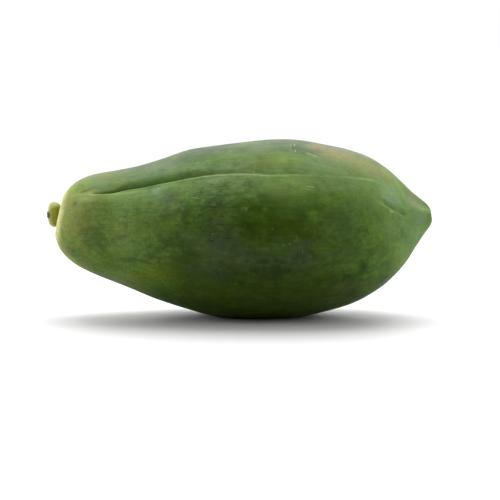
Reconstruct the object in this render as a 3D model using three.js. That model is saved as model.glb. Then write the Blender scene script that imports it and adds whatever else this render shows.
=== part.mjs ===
// A whole papaya lying on its side, with the stub of its stalk still on it.
//
// Millimetres, +Z up. X runs along the fruit, from the stalk at -X to the blossom end at +X,
// and -Y is the side where one of its five lobes faces out. The origin lies on the surface that
// the fruit rests on, under the middle of its bounding box.

import * as THREE from "three";

const { degToRad, clamp, smoothstep, lerp, euclideanModulo } = THREE.MathUtils;

// ---- The fruit's plain form ------------------------------------------------------------------

// Rings from the hollow round the stalk to the blossom end: how far along the fruit, how high the
// ring's centre is, and its radius. The first few dip inwards to form the hollow, and the last few
// are the blunt nipple.
const RINGS = [
  [-100.0, 57.6, 0],
  [-100.4, 57.7, 4.2],
  [-102.0, 58.2, 7.8],
  [-102.9, 58.6, 10.6],
  [-101.7, 58.3, 14.4],
  [-97.7, 57.4, 20.4],
  [-91, 56.1, 25.5],
  [-83, 54.7, 28.8],
  [-75, 53.5, 31.3],
  [-60, 51.7, 35.7],
  [-45, 50.3, 41.1],
  [-28, 49.8, 46.6],
  [-12, 49.0, 49.8],
  [3, 49.3, 51.3],
  [18.5, 50.0, 52.0],
  [34, 50.5, 51.3],
  [50, 50.9, 48.2],
  [65, 52.0, 44.1],
  [78, 54.1, 38.1],
  [88, 55.6, 30.6],
  [95, 56.2, 23.3],
  [100, 56.8, 16.9],
  [104, 57.5, 12.3],
  [107.2, 58.1, 8.8],
  [109.5, 58.3, 6.3],
  [110.9, 58.3, 3.8],
  [111.3, 58.2, 1.9],
  [111.0, 58.2, 0],
];
const DEPTH_SHARE = 0.98; // the fruit is a little narrower from front to back than it is high

// The rings stand upright in the middle and lean at the ends, where the fruit bends upwards.
const STALK_LEAN = degToRad(12.5);
const STALK_LEAN_FROM = -30;
const STALK_LEAN_FULL = -104;
const TIP_LEAN = degToRad(7);
const TIP_LEAN_FROM = 45;
const TIP_LEAN_FULL = 95;

// ---- The valleys between its lobes -----------------------------------------------------------

// Each valley's angle round the fruit (0 faces -Y and 90 faces up) and its depth at the stalk end.
const VALLEYS = [
  { angle: 45, depth: 3.4 },
  { angle: -25, depth: 1.3 },
  { angle: 120, depth: 2.6 },
  { angle: 190, depth: 3.0 },
  { angle: 260, depth: 1.6 },
];
const LOBE_HALF_ANGLE = degToRad(36);
const VALLEY_FADE_RADIUS = 14; // valleys run out on rings smaller than this, at both ends
const VALLEY_START = { from: -96, to: -66 }; // they begin a little way in from the stalk end
const VALLEY_SHALLOW = { from: -40, to: 40, share: 0.38 }; // depth left over past the middle
const VALLEY_ROUNDING = { from: -10, to: 70, stalk: 0.07, tip: 0.32 }; // 0 is a sharp crease
const VALLEY_FLOOR = { from: 30, to: 90, stalk: 1, tip: 2.3 }; // above 1, the floor is wide and flat

// The valleys wander a little from side to side along the fruit.
const MEANDER = { swing: degToRad(2.3), wavelength: 122, start: -56, offset: degToRad(1.3) };

const FOOT_CUT = 1.7; // how much of the underside is pressed flat where the fruit rests

// ---- The stalk -------------------------------------------------------------------------------

// The stub's profile, as distance out from the hollow's floor and radius: a neck, a swollen
// cushion, the cut end, and the raised scar of the cut.
const STALK_PROFILE = [
  [1.1, 0],
  [1.1, 4.2],
  [2.4, 5.6],
  [4.1, 6.6],
  [5.8, 7.0],
  [7.2, 7.1],
  [8.6, 6.6],
  [9.4, 5.5],
  [9.7, 4.0],
  [9.6, 2.9],
  [10.2, 2.3],
  [10.5, 1.2],
  [10.3, 0],
];
const STALK_LENGTH = 10.5;
const STALK_SIDES = 30;
const STALK_ROWS_EACH = 2; // rows of facets between two points of its profile
const STALK_FLUTE = 0.035; // share of the radius that its five faint flutes take away

// ---- Facets ----------------------------------------------------------------------------------

const COLUMNS = 72; // one every 5 degrees, so that each valley's floor is an edge
const ROWS = 2 * (RINGS.length - 1);

// A closed skin from a function of (row, column), where the first and the last row are points.
function lathedSkin(rows, columns, pointAt) {
  const positions = [...pointAt(0, 0).toArray()];
  for (let row = 1; row < rows; row++) {
    for (let column = 0; column < columns; column++) {
      positions.push(...pointAt(row, column).toArray());
    }
  }
  positions.push(...pointAt(rows, 0).toArray());

  const last = positions.length / 3 - 1;
  const index = (row, column) => 1 + (row - 1) * columns + (column % columns);
  const faces = [];
  for (let column = 0; column < columns; column++) {
    faces.push(0, index(1, column), index(1, column + 1));
    for (let row = 1; row < rows - 1; row++) {
      const [a, b] = [index(row, column), index(row, column + 1)];
      const [c, d] = [index(row + 1, column + 1), index(row + 1, column)];
      faces.push(a, d, c, a, c, b);
    }
    faces.push(index(rows - 1, column), last, index(rows - 1, column + 1));
  }
  const geometry = new THREE.BufferGeometry();
  geometry.setAttribute("position", new THREE.Float32BufferAttribute(positions, 3));
  geometry.setIndex(faces);
  geometry.computeVertexNormals();
  return geometry;
}

// How far a ring leans back at this place along the fruit.
function leanAt(along) {
  const stalk = clamp((STALK_LEAN_FROM - along) / (STALK_LEAN_FROM - STALK_LEAN_FULL), 0, 1);
  return -STALK_LEAN * stalk + TIP_LEAN * smoothstep(along, TIP_LEAN_FROM, TIP_LEAN_FULL);
}

// How far the valleys have wandered round the fruit at this place along it.
function wanderAt(along) {
  const wave = Math.sin((2 * Math.PI * (along - MEANDER.start)) / MEANDER.wavelength);
  return MEANDER.offset + MEANDER.swing * wave;
}

// A value that changes smoothly from its stalk value to its tip value.
function alongRange({ from, to, stalk, tip }, along) {
  return lerp(stalk, tip, smoothstep(along, from, to));
}

// Depth of the valleys under the plain form, at a place along the fruit and an angle round it.
function valleyDepth(along, angle, ringRadius) {
  const rounding = alongRange(VALLEY_ROUNDING, along);
  const floor = alongRange(VALLEY_FLOOR, along);
  const strength =
    alongRange({ ...VALLEY_SHALLOW, stalk: 1, tip: VALLEY_SHALLOW.share }, along) *
    smoothstep(along, VALLEY_START.from, VALLEY_START.to) *
    smoothstep(ringRadius, 0, VALLEY_FADE_RADIUS);
  let depth = 0;
  for (const valley of VALLEYS) {
    const turned = euclideanModulo(angle - degToRad(valley.angle) + Math.PI, 2 * Math.PI) - Math.PI;
    const offset = clamp(turned, -LOBE_HALF_ANGLE, LOBE_HALF_ANGLE);
    const wall = Math.hypot(Math.sin((offset / LOBE_HALF_ANGLE) * (Math.PI / 2)), rounding);
    depth += valley.depth * strength * Math.max(0, 1 - wall ** floor);
  }
  return depth;
}

function makeFruit(material) {
  const rings = new THREE.CatmullRomCurve3(
    RINGS.map(([along, height, radius]) => new THREE.Vector3(along, height, radius)),
  );
  const angleOf = (column) => (2 * Math.PI * column) / COLUMNS;
  const plain = lathedSkin(ROWS, COLUMNS, (row, column) => {
    const { x: along, y: height, z: radius } = rings.getPoint(row / ROWS);
    const angle = angleOf(column) + wanderAt(along);
    const lean = leanAt(along);
    return new THREE.Vector3(
      along - radius * Math.sin(angle) * Math.sin(lean),
      -radius * Math.cos(angle) * DEPTH_SHARE,
      height + radius * Math.sin(angle) * Math.cos(lean),
    );
  });

  // The valleys are pressed in along the plain form's normals.
  const normals = plain.getAttribute("normal");
  const point = new THREE.Vector3();
  const normal = new THREE.Vector3();
  const positions = plain.getAttribute("position");
  for (let i = 0; i < positions.count; i++) {
    const column = (i - 1) % COLUMNS;
    const row = clamp(Math.floor((i - 1) / COLUMNS) + 1, 0, ROWS);
    const { x: along, z: radius } = rings.getPoint(row / ROWS);
    point.fromBufferAttribute(positions, i);
    normal.fromBufferAttribute(normals, i);
    point.addScaledVector(normal, -valleyDepth(along, angleOf(column), radius));
    positions.setXYZ(i, point.x, point.y, point.z);
  }
  flattenFoot(plain);
  return new THREE.Mesh(plain, material);
}

// Presses the lowest part of the skin flat.
function flattenFoot(geometry) {
  geometry.computeBoundingBox();
  const floor = geometry.boundingBox.min.z + FOOT_CUT;
  const positions = geometry.getAttribute("position");
  for (let i = 0; i < positions.count; i++) {
    positions.setZ(i, Math.max(positions.getZ(i), floor));
  }
  geometry.computeBoundingBox();
}

function makeStalk(material) {
  const profile = new THREE.SplineCurve(
    STALK_PROFILE.map(([out, radius]) => new THREE.Vector2(out, radius)),
  );
  const rows = STALK_ROWS_EACH * (STALK_PROFILE.length - 1);
  const [floorX, floorZ] = RINGS[0];
  const skin = lathedSkin(rows, STALK_SIDES, (row, column) => {
    const { x: out, y: across } = profile.getPoint(row / rows);
    const angle = (2 * Math.PI * column) / STALK_SIDES;
    const radius = Math.max(0, across) * (1 - STALK_FLUTE * Math.cos(2.5 * angle) ** 2);
    // It leaves the hollow square to the hollow's floor, and bends level.
    const lean = STALK_LEAN * (1 - out / STALK_LENGTH);
    const rise = (STALK_LEAN + lean) / 2;
    return new THREE.Vector3(
      floorX - out * Math.cos(rise) + radius * Math.sin(angle) * Math.sin(lean),
      radius * Math.cos(angle),
      floorZ + out * Math.sin(rise) + radius * Math.sin(angle) * Math.cos(lean),
    );
  });
  return new THREE.Mesh(skin, material);
}

const skinMaterial = new THREE.MeshStandardMaterial({
  color: new THREE.Color(0.33, 0.45, 0.17),
  roughness: 0.48,
  metalness: 0,
});
const stalkMaterial = new THREE.MeshStandardMaterial({
  color: new THREE.Color(0.5, 0.52, 0.2),
  roughness: 0.6,
  metalness: 0,
});

const fruit = makeFruit(skinMaterial);
fruit.name = "fruit";
const stalk = makeStalk(stalkMaterial);
stalk.name = "stalk";

// The origin goes under the middle of the whole papaya, on the plane of its flat foot.
const papaya = new THREE.Group();
papaya.add(fruit, stalk);
const box = new THREE.Box3().setFromObject(papaya, true);
const middle = box.getCenter(new THREE.Vector3());
papaya.position.set(-middle.x, -middle.y, -box.min.z);

export default papaya;
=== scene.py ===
"""Dresses a whole green papaya, lying on its side, for a picture in a light studio."""

import math
from collections import namedtuple

import bpy
from bpy.props import FloatProperty, FloatVectorProperty, IntProperty, PointerProperty
from bpy.types import Operator, Panel, PropertyGroup
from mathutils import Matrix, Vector


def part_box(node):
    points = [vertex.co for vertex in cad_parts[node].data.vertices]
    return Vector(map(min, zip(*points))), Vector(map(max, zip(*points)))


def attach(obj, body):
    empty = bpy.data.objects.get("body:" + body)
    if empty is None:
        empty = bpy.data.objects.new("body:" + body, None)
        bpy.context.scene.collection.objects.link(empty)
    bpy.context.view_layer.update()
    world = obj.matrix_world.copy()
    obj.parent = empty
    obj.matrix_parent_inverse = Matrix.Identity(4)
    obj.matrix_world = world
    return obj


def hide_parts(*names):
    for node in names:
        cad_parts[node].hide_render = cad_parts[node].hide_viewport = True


bl_info = {
    "name": "Papaya",
    "version": (1, 0, 0),
    "blender": (4, 5, 0),
    "location": "View3D > Sidebar > Papaya",
    "description": "Makes a whole green papaya with the stub of its stalk, and a studio to show it in",
    "category": "Object",
}

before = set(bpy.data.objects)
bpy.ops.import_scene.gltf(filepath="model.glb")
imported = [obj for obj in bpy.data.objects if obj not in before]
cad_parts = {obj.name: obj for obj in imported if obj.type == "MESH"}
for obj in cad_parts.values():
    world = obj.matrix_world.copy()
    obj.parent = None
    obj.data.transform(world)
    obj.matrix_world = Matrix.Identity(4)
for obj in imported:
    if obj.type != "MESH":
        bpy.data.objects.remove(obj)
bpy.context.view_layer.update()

MM = 0.001
DEGREE = math.pi / 180

# Places on the fruit are given as millimetres along it and degrees round it. 0 degrees faces -Y
# and 90 degrees faces up.

# Rings from the hollow round the stalk to the blossom end: how far along the fruit, how high
# the ring's centre is, and its radius, in millimetres.
FRUIT_RINGS = (
    (-100.0, 57.6, 0), (-100.4, 57.7, 4.2), (-102.4, 58.2, 7.8), (-103.6, 58.6, 10.6),
    (-102.4, 58.3, 14.4), (-98.1, 57.4, 20.4), (-91, 56.1, 25.5), (-83, 54.7, 28.8),
    (-75, 53.5, 31.3), (-60, 51.7, 35.7), (-45, 50.3, 41.1), (-28, 49.8, 46.6), (-12, 49.0, 49.8),
    (3, 49.3, 51.3), (18.5, 50.0, 52.0), (34, 50.5, 51.3), (50, 50.9, 48.2), (65, 52.0, 44.1),
    (78, 54.1, 38.1), (88, 55.6, 30.6), (95, 56.2, 23.3), (100, 56.8, 16.9), (104, 57.5, 12.3),
    (107.2, 58.1, 8.8), (109.5, 58.3, 6.3), (110.9, 58.3, 3.8), (111.3, 58.2, 1.9),
    (110.8, 58.2, 0),
)

# The lobes' valleys: degrees round the fruit, and millimetres deep at the stalk end.
VALLEYS = ((45, 3.4), (-25, 1.3), (120, 2.6), (190, 3.0), (260, 1.6))

# The stub's profile, as distance out from the hollow's floor and radius, in millimetres.
STALK_PROFILE = (
    (1.1, 0), (1.1, 4.2), (2.4, 5.6), (4.1, 6.6), (5.8, 7.0), (7.2, 7.1), (8.6, 6.6), (9.4, 5.5),
    (9.7, 4.0), (9.6, 2.9), (10.2, 2.3), (10.5, 1.2), (10.2, 0),
)

# The creases: the way as (mm along, degrees round), the depth as (mm along, mm deep), and how far
# the side above and the side below take to level out, in mm or as (mm along, mm). Where there is
# a lip, the lower edge stands that many mm proud.
Crease = namedtuple("Crease", "way depth above below lip", defaults=(0.0,))
CREASES = {
    "main": Crease(
        way=(
            (-100, 39), (-90, 39.4), (-86, 40.2), (-81, 41.6), (-76, 43.2), (-70, 46.8),
            (-65, 48.4), (-56, 49), (-47, 49.7), (-34, 48.8), (-28, 48.6), (-22, 49), (-16, 49.4),
            (-5, 48.3), (1, 47.5), (9.2, 45.9), (23.7, 43.4), (44, 44.4), (58, 45.3), (73, 47.2),
            (80, 47.8), (92, 49),
        ),
        depth=(
            (-89, 0), (-86, 0.28), (-81, 0.7), (-73, 1.1), (-64, 1.45), (-50, 1.3), (-25, 0.9),
            (-5, 0.45), (16, 0.36), (32, 0.22), (44, 0.1), (58, 0.1), (74, 0.14), (80, 0.04),
            (86, 0),
        ),
        above=((-89, 1.6), (-74, 2.0), (-60, 4.4), (-30, 4.2), (0, 3.2), (92, 3)),
        below=((-89, 1.2), (-74, 1.2), (-40, 1.5), (0, 2.2), (92, 2.2)),
        lip=0.2,
    ),
    "fork": Crease(
        way=((-94, 41), (-92, 42.8), (-90.5, 44.6), (-88.5, 46.6), (-86, 48.6), (-83, 50.5)),
        depth=((-94, 0), (-91, 0.2), (-87.5, 0.24), (-83, 0)),
        above=2.4,
        below=1.6,
    ),
    "brow": Crease(
        way=((-97, 39), (-84, 39.6), (-70, 40.6), (-55, 42.8)),
        depth=((-97, 0), (-90, -0.3), (-82, -0.3), (-55, 0)),
        above=3.4,
        below=6.0,
    ),
    "seam": Crease(
        way=(
            (-66, 45.6), (-43, 47), (-28, 46), (-14, 47), (0.6, 45.8), (9.2, 44.1), (23.7, 41.6),
            (44, 42.4), (58, 43.2), (73, 44.8), (84, 45),
        ),
        depth=(
            (-66, 0), (-50, -0.12), (-34, -0.05), (-20, -0.1), (-2, -0.16), (8, -0.02),
            (14, -0.1), (28, -0.03), (46, 0), (64, -0.02), (76, -0.06), (84, 0),
        ),
        above=1.8,
        below=2.6,
    ),
    "tip": Crease(
        way=((76, 28), (80, 25.4), (84, 22.2), (87.2, 18.6), (90, 15.6), (93.5, 12.4), (98, 9.5)),
        depth=(
            (79, 0), (82, 0.15), (85, 0.6), (87.5, 0.6), (90, 0.12), (93, 0.6), (95, 0.25),
            (98, 0),
        ),
        above=2.8,
        below=2.6,
        lip=0.24,
    ),
    "low": Crease(
        way=((-96, -27), (-72, -27.4), (-53, -25.3), (-41, -25.2), (-20, -24)),
        depth=((-80, 0), (-70, 0.12), (-62, 0.34), (-50, 0.38), (-38, 0.26), (-20, 0)),
        above=3.6,
        below=2.4,
    ),
    "top": Crease(
        way=((-98, 120), (-80, 118), (-50, 121), (-20, 124), (20, 122), (60, 120)),
        depth=((-98, 0), (-86, 0.4), (-60, 0.8), (-30, 0.5), (10, 0.2), (60, 0)),
        above=3.0,
        below=3.6,
        lip=0.12,
    ),
    "back": Crease(
        way=((-98, 190), (-80, 188), (-50, 191), (-10, 194), (30, 190), (80, 189)),
        depth=((-98, 0), (-88, 0.5), (-65, 1.1), (-30, 0.7), (10, 0.3), (80, 0)),
        above=2.8,
        below=4.0,
        lip=0.16,
    ),
    "under": Crease(
        way=((-98, 262), (-75, 260), (-45, 262), (-10, 263)),
        depth=((-98, 0), (-84, 0.3), (-55, 0.35), (-10, 0)),
        above=3.0,
        below=3.0,
    ),
}

# Along the main crease, in millimetres: how dark the painted shade of the fold over it is, how pale
# the painted highlight on the edge under it is, how wide that edge is, and how pale the painted
# highlight on the ridge on both sides of it is.
FOLD = (
    (-90, 0), (-80, 0.1), (-70, 0.35), (-58, 0.65), (-45, 0.9), (-28, 0.9), (-14, 0.4), (0, 0.1),
    (20, 0),
)
EDGE = (
    (-96, 0), (-89, 0.9), (-64, 1.0), (-50, 0.6), (-36, 0.8), (-20, 0.6), (-4, 0.4), (10, 0.35),
    (18, 0.1), (56, 0.05), (66, 0.15), (72, 0.3), (76, 0.45), (80, 0.1), (84, 0),
)
EDGE_WIDTH = ((-90, 3.6), (-66, 4.2), (-52, 1.6), (-30, 1.3), (0, 1.3), (30, 2.0), (90, 2.0))
RIDGE = ((2, 0), (16, 0.5), (30, 0.6), (44, 0.55), (56, 0.6), (72, 0.6), (80, 0.2), (86, 0))
# How far round the fruit the fold's painted shade, the ridge's painted highlight and a crease's
# painted dark line reach, in millimetres.
FOLD_REACH = 6.5
RIDGE_REACH = 4.5
LINE_REACH = 1.6

# The pale specks' places.
LENTICELS = (
    (-58.3, 21.1), (-30.5, 24.8), (-30.4, 57.0), (-63.3, 11.7), (-54.8, 2.3), (-76.6, -15.7),
    (-63.6, -10.3), (-26.2, 64.9), (-39.6, -13.8), (-62.7, -40.4), (-30.8, -33.7), (-14.5, 4.3),
    (-86.9, -8.7), (19.0, 6.5), (4.6, 19.7), (28.5, -3.2), (25.0, -4.2), (32.1, 64.4),
)
# Healed scratches: both ends, and how strongly each shows.
SCRATCHES = (
    ((-26.6, 29.8), (-21.6, 28.4), 0.35), ((31.6, 75.5), (32.0, 64.4), 0.9),
    ((29.2, 74.5), (29.5, 66.5), 0.4), ((34.5, 66.4), (38.9, 64.5), 0.3),
    ((38.7, 64.5), (44.0, 61.8), 0.9), ((38.3, 34.6), (42.0, 34.2), 0.9),
    ((37.8, 32.8), (40.2, 32.2), 0.35), ((8.4, 48.2), (8.7, 45.0), 0.5),
    ((35.7, -7.6), (35.7, -10.4), 0.25), ((42.4, 5.0), (42.6, 2.3), 0.2),
    ((-24.2, 62.1), (-22.2, 62.3), 0.4), ((12, 150), (18, 147), 0.5),
    ((-44, 205), (-41, 212), 0.4), ((58, 228), (63, 231), 0.5),
)
SCRATCH_WIDTH = 0.36 * MM
# Soft patches, laid one over the other: colour, strength, place, mm long, mm across. Not all are
# the skin's own colour: the patches on the crown are painted shade that darkens the top, the dark
# patches are painted shade, mostly low on the flanks, the long deep stroke along the low crease is
# painted shade, and at the tip crease the pale edge spot is a painted highlight and the deep spot
# in its pit painted shade.
CLOUDS = (
    ("slate", 0.7, (-7, 4), 14, 27), ("deep", 0.85, (19, 7), 22, 22),
    ("fresh", 0.75, (-66, 12), 10, 16), ("fresh", 0.85, (-67, 3), 12, 14),
    ("fresh", 0.3, (-66, -22), 10, 14), ("frost", 0.1, (92, 0), 15, 24),
    ("fresh", 0.5, (92.6, 5), 1.5, 4.5), ("fresh", 0.4, (95.6, -4), 1.2, 2.6),
    ("deep", 0.2, (89.6, 0), 1.3, 6), ("bloom", 0.6, (44, 37), 18, 6),
    ("deep", 0.55, (-31, -20), 11, 18), ("deep", 0.5, (-95, -44), 5, 5),
    ("slate", 0.5, (-18, -20), 16, 12), ("fresh", 0.9, (28, 36), 15, 8),
    ("green", 0.9, (31, 27), 12, 8), ("edge", 0.45, (30, 33.5), 10, 6),
    ("edge", 0.25, (20.5, 31), 7, 5), ("slate", 0.7, (-37, 37), 9, 5),
    ("slate", 0.35, (-39, 31), 12, 5), ("slate", 0.3, (-17, 36), 10, 6),
    ("deep", 0.6, (-5, 40), 9, 4.5), ("deep", 0.65, (3.5, 22.5), 5, 5),
    ("deep", 0.55, (15, 18.5), 4, 3), ("green", 0.4, (13.5, 26), 5, 3.5),
    ("deep", 0.8, (1, 8.5), 8, 3.5), ("dark", 0.4, (3.5, 9.5), 5, 3),
    ("fresh", 0.5, (-1, 30), 6, 5), ("green", 0.5, (-6, 16), 8, 5),
    ("green", 0.45, (-20, 13), 4, 4), ("deep", 0.45, (33, 1), 8, 6),
    ("slate", 0.6, (35, -12), 6, 4), ("green", 0.35, (23, -5), 5, 7),
    ("green", 0.3, (25, 16), 7, 6), ("deep", 0.6, (38.5, 8.5), 5, 5),
    ("green", 0.2, (-20, -4), 8, 14), ("russet", 0.15, (24, 29), 6, 7),
    ("fold", 0.16, (16, 31), 22, 12), ("olive", 0.6, (18, 57), 16, 7),
    ("ash", 0.4, (13, 71), 9, 6), ("crown_shade", 0.65, (38, 70), 15, 5.5),
    ("pink", 0.8, (45, 75), 6, 5), ("pink", 0.5, (55, 67), 11, 6), ("fresh", 0.3, (46, 49), 9, 3),
    ("ash", 0.35, (40, 73), 5, 5), ("fresh", 0.8, (27, 56), 10, 6),
    ("crown_shade", 0.35, (25, 67), 7, 3.5), ("bruise", 0.4, (20, 80.5), 6, 1.2),
    ("blush", 0.75, (-67, 62), 9, 5), ("blush", 0.5, (-74, 73), 13, 6),
    ("frost", 0.55, (-46.5, 42), 2.6, 2.4), ("frost", 0.35, (-79, 58), 8, 5),
    ("edge", 0.35, (-71.5, 56), 8, 5), ("green", 0.5, (-91, 58), 5, 5),
    ("blush", 0.35, (-99, 34), 4, 4), ("ash", 0.5, (-90.3, 25.6), 3.2, 1.8),
    ("russet", 0.65, (-80.8, 26.4), 1.2, 2.6), ("russet", 0.6, (-95.5, -45), 6, 3.5),
    ("blush", 0.55, (-85.5, 19.5), 6, 4), ("edge", 0.6, (-83.4, 42.4), 1.6, 1.2),
    ("green", 0.8, (-88.5, 45.6), 3.8, 1.1), ("fresh", 0.5, (-90, 41), 5, 1.6),
    ("bloom", 0.6, (-66, 68), 12, 9), ("green", 0.7, (-32, 42), 15, 6),
    # The long deep stroke at the end of the next row is painted shade along the low crease.
    ("deep", 0.5, (-27, 54), 7, 3), ("deep", 0.55, (-62, -27), 18, 2.6),
    ("fresh", 0.85, (-65, -53), 24, 10), ("ash", 0.4, (-66, -58), 16, 6),
    ("olive", 0.6, (-55, -58), 12, 7), ("deep", 0.5, (-80, -12), 11, 7),
    ("green", 0.5, (-85, -26), 9, 9), ("olive", 0.45, (-78, -38), 12, 6),
    ("fresh", 0.4, (-82, -38), 8, 5), ("frost", 0.35, (-46, 66), 22, 7),
    ("ash", 0.3, (-45, 70), 14, 6), ("frost", 0.12, (-46, 30), 10, 16),
    ("olive", 0.8, (-50, -36), 22, 9), ("blush", 0.1, (-60, 0), 28, 28),
    ("blush", 0.45, (83, 68), 8, 6), ("crown_shade", 0.35, (74, 80), 14, 5),
    ("blush", 0.35, (89, 62), 7, 6), ("blush", 0.25, (98, 40), 6, 5),
    ("ash", 0.6, (101, 58), 7, 6), ("frost", 0.3, (103, -32), 8, 9),
    ("frost", 0.15, (106, 14), 5, 5), ("ash", 0.5, (105, 36), 5, 4),
    ("ash", 0.4, (88, 48), 2.5, 2), ("ash", 0.5, (94, 50), 2.5, 2.5),
    ("fresh", 0.45, (84, 47), 8, 3.2), ("frost", 0.15, (104, 20), 7, 9),
    ("slate", 0.4, (57, 9), 12, 12), ("green", 0.3, (47, 14), 13, 9),
    # The dark patches in the next three rows are painted shade on the front flank.
    ("deep", 0.55, (68, -13), 10, 8), ("dark", 0.6, (19, -20.5), 16, 7),
    ("dark", 0.35, (-3, -21), 15, 7), ("dark", 0.35, (49, -6), 8, 8),
    ("dark", 0.55, (69, -34), 12, 5), ("dark", 0.25, (47, -29), 9, 4),
    ("crown_shade", 0.85, (-15, 78), 22, 5.5), ("deep", 0.4, (-12, 85), 17, 5),
    ("bloom", 0.5, (5, 79), 11, 5), ("green", 0.55, (-10, 64), 16, 6),
    ("bruise", 0.35, (62, -44), 16, 7), ("bruise", 0.25, (-24, -42), 12, 6),
    ("deep", 0.3, (81, -22), 8, 9), ("deep", 0.6, (52, -30), 17, 4.5),
    ("green", 0.3, (60, -19), 9, 4), ("deep", 0.4, (-50, -5), 5, 3.5),
    ("deep", 0.65, (-45.5, -13), 6, 5), ("deep", 0.5, (-39, 15), 6, 4),
    ("deep", 0.3, (-55, 21.5), 5, 4), ("deep", 0.8, (-28.5, -14), 6, 4.5),
    ("dark", 0.3, (-27.5, -13), 5, 3.5), ("deep", 0.7, (-35, -3), 5.5, 4.5),
    ("green", 0.5, (-96, -38), 8, 9), ("fresh", 0.6, (-84, 17), 9, 7),
    ("rim", 0.3, (-87, 35), 7, 3.5), ("green", 0.3, (-91, -48), 8, 6),
    ("fresh", 0.5, (80, 25), 9, 6), ("fresh", 0.3, (70, 18), 7, 5),
    ("fresh", 0.7, (93, -44), 8, 9), ("fresh", 0.45, (86, 2), 7, 9),
    # At the tip crease: a painted highlight under it, and painted shade in its pit.
    ("edge", 0.65, (86, 15.2), 3.4, 1.3), ("deep", 0.4, (93.2, 11.2), 2.2, 1.5),
    ("frost", 0.4, (85, 34), 9, 8), ("frost", 0.15, (-36, 22), 8, 7),
    ("fresh", 0.4, (68, 32), 12, 6), ("slate", 0.7, (0, 176), 30, 16),
    ("deep", 0.7, (34, 205), 26, 18), ("olive", 0.6, (-38, 150), 20, 10),
    ("blush", 0.4, (48, 128), 20, 9), ("olive", 0.6, (30, 262), 34, 20),
)
# Small dark spots: (mm along, degrees round, mm of radius).
BRUISES = (
    (-92.6, 28.2, 2.5), (-94.0, -42.0, 2.0), (-14.2, 6.9, 2.8), (-17.8, 6.5, 1.8),
    (-7.6, 8.2, 2.4), (-15, 22.1, 2.4), (-11, 20.5, 1.6), (-28.9, -15, 2.2), (36.8, 21.1, 1.2),
    (40.1, 6.6, 1.1), (22, 170, 1.6), (-60, 230, 1.7), (70, 140, 1.3),
)
# The two ends of the patch that has begun to ripen, and how wide it is.
RIPE_PATCH = ((49, 75), (74, 63))
RIPE_WIDTH = 16 * MM


# ---- Node trees as expressions ---------------------------------------------------------------


def both_ways(operation):
    """An operator and its reflected form, for a Value on the left or on the right."""
    return (
        lambda self, other: self.sheet.sum(operation, self, other),
        lambda self, other: self.sheet.sum(operation, other, self),
    )


class Value:
    """A node's output. Arithmetic on it adds the nodes that do the sum."""

    __add__, __radd__ = both_ways("ADD")
    __sub__, __rsub__ = both_ways("SUBTRACT")
    __mul__, __rmul__ = both_ways("MULTIPLY")
    __truediv__, __rtruediv__ = both_ways("DIVIDE")
    __pow__, __rpow__ = both_ways("POWER")
    __lt__ = both_ways("LESS_THAN")[0]
    __gt__ = both_ways("GREATER_THAN")[0]

    def __init__(self, sheet, socket):
        self.sheet = sheet
        self.socket = socket

    def __neg__(self):
        return self * -1.0

    def out(self, name):
        """Another output of the same node."""
        return Value(self.sheet, self.socket.node.outputs[name])


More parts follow.
